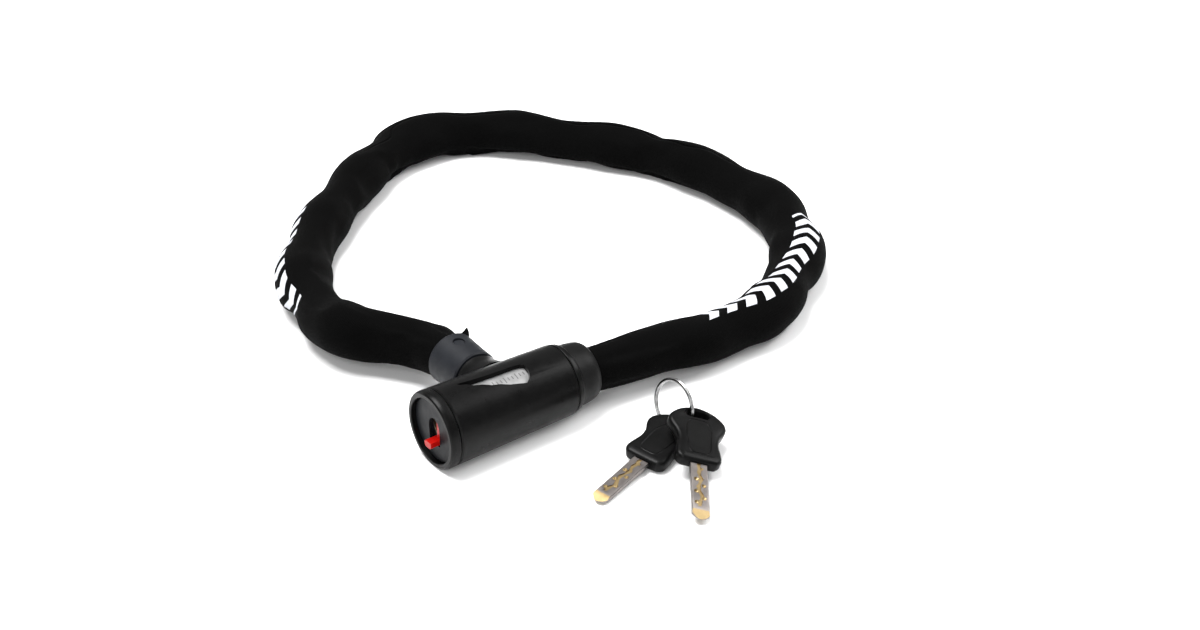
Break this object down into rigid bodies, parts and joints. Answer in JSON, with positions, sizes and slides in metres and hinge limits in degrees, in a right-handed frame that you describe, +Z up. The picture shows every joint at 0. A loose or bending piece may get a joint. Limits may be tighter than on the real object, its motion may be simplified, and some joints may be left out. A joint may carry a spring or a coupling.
{
  "type": "sleeved chain lock",
  "caption": "Round-bodied padlock on a fabric-sleeved chain loop, closed, lying with its keys on a split ring.",
  "frame": {"origin": "centre of the footprint of the lock, the chain loop and the keys, on the table", "axes": "+Z up; +X along the lock body's axis from its key face to its rear; +Y from the lock body into the chain loop, along the bolt's way out"},
  "size_m": [0.3218, 0.4338, 0.0403],
  "materials": {
    "black_plastic": "satin black moulded plastic",
    "silver_label": "silver-grey printed label",
    "soft_black": "soft matte black",
    "zinc_casting": "cast zinc alloy",
    "hardened_steel": "plated hardened steel",
    "brass": "machined brass",
    "black_fabric": "dense black woven polyester",
    "red_plastic": "glossy red",
    "nickel": "bright nickel"
  },
  "bodies": {
    "lock": {"front_bezel": "black_plastic", "face_plate": "black_plastic", "housing_shell": "black_plastic", "label_plate": "silver_label", "rear_band": "black_plastic", "rear_neck": "soft_black", "lock_core": "zinc_casting", "anchor_pin": "hardened_steel", "socket_liner": "hardened_steel", "cylinder_housing": "brass", "driver_pin_1": "hardened_steel", "driver_pin_2": "hardened_steel", "driver_pin_3": "hardened_steel", "latch_spring": "hardened_steel", "fabric_sleeve": "black_fabric"},
    "plug": {"key_plug": "brass", "key_pin_1": "brass", "key_pin_2": "brass", "key_pin_3": "brass", "plug_clip": "hardened_steel", "plug_cam": "hardened_steel"},
    "latch_slide": {"latch": "hardened_steel"},
    "shutter": {"keyhole_shutter": "red_plastic"},
    "link_01": {"chain_link_01": "hardened_steel"},
    "link_02": {"chain_link_02": "hardened_steel"},
    "link_03": {"chain_link_03": "hardened_steel"},
    "link_04": {"chain_link_04": "hardened_steel"},
    "link_05": {"chain_link_05": "hardened_steel"},
    "link_06": {"chain_link_06": "hardened_steel"},
    "link_07": {"chain_link_07": "hardened_steel"},
    "link_08": {"chain_link_08": "hardened_steel"},
    "link_09": {"chain_link_09": "hardened_steel"},
    "link_10": {"chain_link_10": "hardened_steel"},
    "link_11": {"chain_link_11": "hardened_steel"},
    "link_12": {"chain_link_12": "hardened_steel"},
    "link_13": {"chain_link_13": "hardened_steel"},
    "link_14": {"chain_link_14": "hardened_steel"},
    "link_15": {"chain_link_15": "hardened_steel"},
    "link_16": {"chain_link_16": "hardened_steel"},
    "link_17": {"chain_link_17": "hardened_steel"},
    "link_18": {"chain_link_18": "hardened_steel"},
    "link_19": {"chain_link_19": "hardened_steel"},
    "link_20": {"chain_link_20": "hardened_steel"},
    "link_21": {"chain_link_21": "hardened_steel"},
    "link_22": {"chain_link_22": "hardened_steel"},
    "link_23": {"chain_link_23": "hardened_steel"},
    "link_24": {"chain_link_24": "hardened_steel"},
    "link_25": {"chain_link_25": "hardened_steel"},
    "link_26": {"chain_link_26": "hardened_steel"},
    "link_27": {"chain_link_27": "hardened_steel"},
    "chain_end": {"bolt_pin": "hardened_steel", "end_collar": "black_plastic", "end_cross_pin": "hardened_steel", "seal_ring": "soft_black"},
    "split_ring": {"key_ring": "nickel"},
    "key_a": {"key_a_head": "black_plastic", "key_a_blade": "nickel"},
    "key_b": {"key_b_head": "black_plastic", "key_b_blade": "nickel"}
  },
  "joints": [
    {"name": "chain_hinge_00", "type": "hinge", "parent": "lock", "child": "link_01", "pos_m": [-0.08452, -0.09892, 0.0199], "axis": [0, 0, 1], "range_deg": [0, 0.73]},
    {"name": "chain_hinge_01", "type": "hinge", "parent": "link_01", "child": "link_02", "pos_m": [-0.0581, -0.09911, 0.01892], "axis": [0, 0, 1], "range_deg": [0, 1.03]},
    {"name": "chain_hinge_02", "type": "hinge", "parent": "link_02", "child": "link_03", "pos_m": [-0.01927, -0.10237, 0.01352], "axis": [0, 0, 1], "range_deg": [0, 1.03]},
    {"name": "chain_hinge_03", "type": "hinge", "parent": "link_03", "child": "link_04", "pos_m": [0.00694, -0.10549, 0.01198], "axis": [0, 0, 1], "range_deg": [0, 10.9], "deforming": ["fabric_sleeve"]},
    {"name": "chain_hinge_04", "type": "hinge", "parent": "link_04", "child": "link_05", "pos_m": [0.04617, -0.10259, 0.0119], "axis": [0, 0, 1], "range_deg": [0, 9.63]},
    {"name": "chain_hinge_05", "type": "hinge", "parent": "link_05", "child": "link_06", "pos_m": [0.07121, -0.09409, 0.0119], "axis": [0, 0, 1], "range_deg": [0, 3.98]},
    {"name": "chain_hinge_06", "type": "hinge", "parent": "link_06", "child": "link_07", "pos_m": [0.10393, -0.07226, 0.0119], "axis": [0, 0, 1], "range_deg": [-2.99, 0]},
    {"name": "chain_hinge_07", "type": "hinge", "parent": "link_07", "child": "link_08", "pos_m": [0.12207, -0.05302, 0.0119], "axis": [0, 0, 1], "range_deg": [-7.78, 0]},
    {"name": "chain_hinge_08", "type": "hinge", "parent": "link_08", "child": "link_09", "pos_m": [0.14038, -0.01821, 0.0119], "axis": [0, 0, 1], "range_deg": [-9.92, 0]},
    {"name": "chain_hinge_09", "type": "hinge", "parent": "link_09", "child": "link_10", "pos_m": [0.14565, 0.0077, 0.0119], "axis": [0, 0, 1], "range_deg": [-9.63, 0]},
    {"name": "chain_hinge_10", "type": "hinge", "parent": "link_10", "child": "link_11", "pos_m": [0.14537, 0.04704, 0.0119], "axis": [0, 0, 1], "range_deg": [-7.74, 0]},
    {"name": "chain_hinge_11", "type": "hinge", "parent": "link_11", "child": "link_12", "pos_m": [0.13976, 0.07287, 0.0119], "axis": [0, 0, 1], "range_deg": [-5.44, 0]},
    {"name": "chain_hinge_12", "type": "hinge", "parent": "link_12", "child": "link_13", "pos_m": [0.12605, 0.10974, 0.0119], "axis": [0, 0, 1], "range_deg": [-3.08, 0]},
    {"name": "chain_hinge_13", "type": "hinge", "parent": "link_13", "child": "link_14", "pos_m": [0.11344, 0.13298, 0.0119], "axis": [0, 0, 1], "range_deg": [-1.03, 0]},
    {"name": "chain_hinge_14", "type": "hinge", "parent": "link_14", "child": "link_15", "pos_m": [0.09045, 0.1649, 0.0119], "axis": [0, 0, 1], "range_deg": [0, 1.03]},
    {"name": "chain_hinge_15", "type": "hinge", "parent": "link_15", "child": "link_16", "pos_m": [0.07213, 0.18396, 0.0119], "axis": [0, 0, 1], "range_deg": [0, 1.03]},
    {"name": "chain_hinge_16", "type": "hinge", "parent": "link_16", "child": "link_17", "pos_m": [0.03727, 0.2022, 0.0119], "axis": [0, 0, 1], "range_deg": [0, 1.5]},
    {"name": "chain_hinge_17", "type": "hinge", "parent": "link_17", "child": "link_18", "pos_m": [0.01087, 0.20075, 0.0119], "axis": [0, 0, 1], "range_deg": [0, 1.82]},
    {"name": "chain_hinge_18", "type": "hinge", "parent": "link_18", "child": "link_19", "pos_m": [-0.02506, 0.18473, 0.0119], "axis": [0, 0, 1], "range_deg": [0, 2.08]},
    {"name": "chain_hinge_19", "type": "hinge", "parent": "link_19", "child": "link_20", "pos_m": [-0.04688, 0.1698, 0.0119], "axis": [0, 0, 1], "range_deg": [0, 2.44]},
    {"name": "chain_hinge_20", "type": "hinge", "parent": "link_20", "child": "link_21", "pos_m": [-0.07688, 0.14436, 0.0119], "axis": [0, 0, 1], "range_deg": [0, 2.93]},
    {"name": "chain_hinge_21", "type": "hinge", "parent": "link_21", "child": "link_22", "pos_m": [-0.09564, 0.12574, 0.0119], "axis": [0, 0, 1], "range_deg": [0, 3.37]},
    {"name": "chain_hinge_22", "type": "hinge", "parent": "link_22", "child": "link_23", "pos_m": [-0.11953, 0.09448, 0.01189], "axis": [0, 0, 1], "range_deg": [0, 3.5]},
    {"name": "chain_hinge_23", "type": "hinge", "parent": "link_23", "child": "link_24", "pos_m": [-0.13069, 0.07051, 0.01191], "axis": [0, 0, 1], "range_deg": [0, 2.79]},
    {"name": "chain_hinge_24", "type": "hinge", "parent": "link_24", "child": "link_25", "pos_m": [-0.1371, 0.0317, 0.0126], "axis": [0, 0, 1], "range_deg": [0, 1.03]},
    {"name": "chain_hinge_25", "type": "hinge", "parent": "link_25", "child": "link_26", "pos_m": [-0.1322, 0.0058, 0.01456], "axis": [0, 0, 1], "range_deg": [-1.03, 0]},
    {"name": "chain_hinge_26", "type": "hinge", "parent": "link_26", "child": "link_27", "pos_m": [-0.11578, -0.02964, 0.01927], "axis": [0, 0, 1], "range_deg": [-1.03, 0]},
    {"name": "chain_hinge_27", "type": "hinge", "parent": "link_27", "child": "chain_end", "pos_m": [-0.11302, -0.05592, 0.0199], "axis": [0, 0, 1], "range_deg": [-1.03, 0]},
    {"name": "key_plug_turn", "type": "hinge", "parent": "lock", "child": "plug", "pos_m": [-0.15182, -0.09892, 0.0199], "axis": [1, 0, 0], "range_deg": [-90, 0]},
    {"name": "latch_slide", "type": "slide", "parent": "lock", "child": "latch_slide", "axis": [0, 0, 1], "range_m": [0, 0.0026], "deforming": ["latch_spring"]},
    {"name": "shutter_slide", "type": "slide", "parent": "lock", "child": "shutter", "axis": [0, 1, 0], "range_m": [0, 0.003]},
    {"name": "keys_lift", "type": "slide", "parent": "lock", "child": "split_ring", "axis": [0, 0, 1], "range_m": [0, 0.06]},
    {"name": "key_a_swing", "type": "hinge", "parent": "split_ring", "child": "key_a", "pos_m": [-0.04629, -0.15668, 0.00596], "axis": [0, 0, 1], "range_deg": [-9, 1.5]},
    {"name": "key_b_swing", "type": "hinge", "parent": "split_ring", "child": "key_b", "pos_m": [-0.04462, -0.16029, 0.01442], "axis": [0, 0, 1], "range_deg": [-1.5, 20]}
  ],
  "couplings": [
    {"joint": "chain_hinge_00", "follows": "chain_hinge_03", "ratio": 0.0644},
    {"joint": "chain_hinge_01", "follows": "chain_hinge_03", "ratio": 0.092},
    {"joint": "chain_hinge_02", "follows": "chain_hinge_03", "ratio": 0.092},
    {"joint": "chain_hinge_04", "follows": "chain_hinge_03", "ratio": 0.8816},
    {"joint": "chain_hinge_05", "follows": "chain_hinge_03", "ratio": 0.3624},
    {"joint": "chain_hinge_06", "follows": "chain_hinge_03", "ratio": -0.2718},
    {"joint": "chain_hinge_07", "follows": "chain_hinge_03", "ratio": -0.7112},
    {"joint": "chain_hinge_08", "follows": "chain_hinge_03", "ratio": -0.9077},
    {"joint": "chain_hinge_09", "follows": "chain_hinge_03", "ratio": -0.8812},
    {"joint": "chain_hinge_10", "follows": "chain_hinge_03", "ratio": -0.7078},
    {"joint": "chain_hinge_11", "follows": "chain_hinge_03", "ratio": -0.497},
    {"joint": "chain_hinge_12", "follows": "chain_hinge_03", "ratio": -0.2801},
    {"joint": "chain_hinge_13", "follows": "chain_hinge_03", "ratio": -0.092},
    {"joint": "chain_hinge_14", "follows": "chain_hinge_03", "ratio": 0.092},
    {"joint": "chain_hinge_15", "follows": "chain_hinge_03", "ratio": 0.092},
    {"joint": "chain_hinge_16", "follows": "chain_hinge_03", "ratio": 0.1357},
    {"joint": "chain_hinge_17", "follows": "chain_hinge_03", "ratio": 0.1643},
    {"joint": "chain_hinge_18", "follows": "chain_hinge_03", "ratio": 0.1889},
    {"joint": "chain_hinge_19", "follows": "chain_hinge_03", "ratio": 0.2215},
    {"joint": "chain_hinge_20", "follows": "chain_hinge_03", "ratio": 0.2664},
    {"joint": "chain_hinge_21", "follows": "chain_hinge_03", "ratio": 0.3068},
    {"joint": "chain_hinge_22", "follows": "chain_hinge_03", "ratio": 0.319},
    {"joint": "chain_hinge_23", "follows": "chain_hinge_03", "ratio": 0.2538},
    {"joint": "chain_hinge_24", "follows": "chain_hinge_03", "ratio": 0.092},
    {"joint": "chain_hinge_25", "follows": "chain_hinge_03", "ratio": -0.092},
    {"joint": "chain_hinge_26", "follows": "chain_hinge_03", "ratio": -0.092},
    {"joint": "chain_hinge_27", "follows": "chain_hinge_03", "ratio": -0.092},
    {"joint": "latch_slide", "follows": "key_plug_turn", "m_per_rad": -0.0016552}
  ]
}
